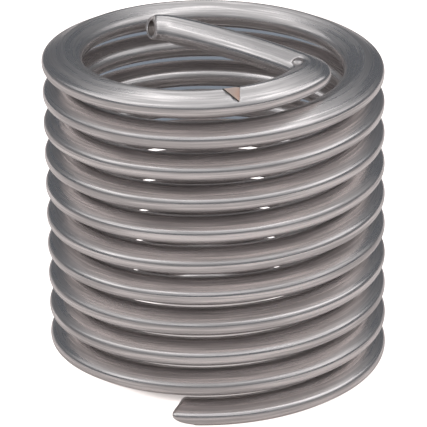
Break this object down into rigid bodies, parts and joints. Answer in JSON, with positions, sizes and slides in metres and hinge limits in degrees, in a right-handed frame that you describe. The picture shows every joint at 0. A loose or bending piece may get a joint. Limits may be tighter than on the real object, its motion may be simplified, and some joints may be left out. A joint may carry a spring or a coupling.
{
  "type": "helical thread insert",
  "caption": "Coil of diamond-section stainless wire, wound right-handed to line a tapped hole, with a break-off driving tang across one end and a notch beside it.",
  "frame": {"origin": "on the coil's axis, at the underside of the wire's cut end, on the plane the insert stands on", "axes": "+Z along the coil's axis from the cut end to the tang, so the insert goes into its hole tang first, along +Z, and the bolt comes in along +Z too; -Y is the side that the wire's cut end, the notch and the tang's bend are seen from"},
  "size_m": [0.01, 0.01, 0.0107],
  "materials": {
    "stainless_wire": "satin, drawn and rolled austenitic stainless steel"
  },
  "bodies": {
    "root": {"wire_coil": "stainless_wire"}
  },
  "joints": []
}
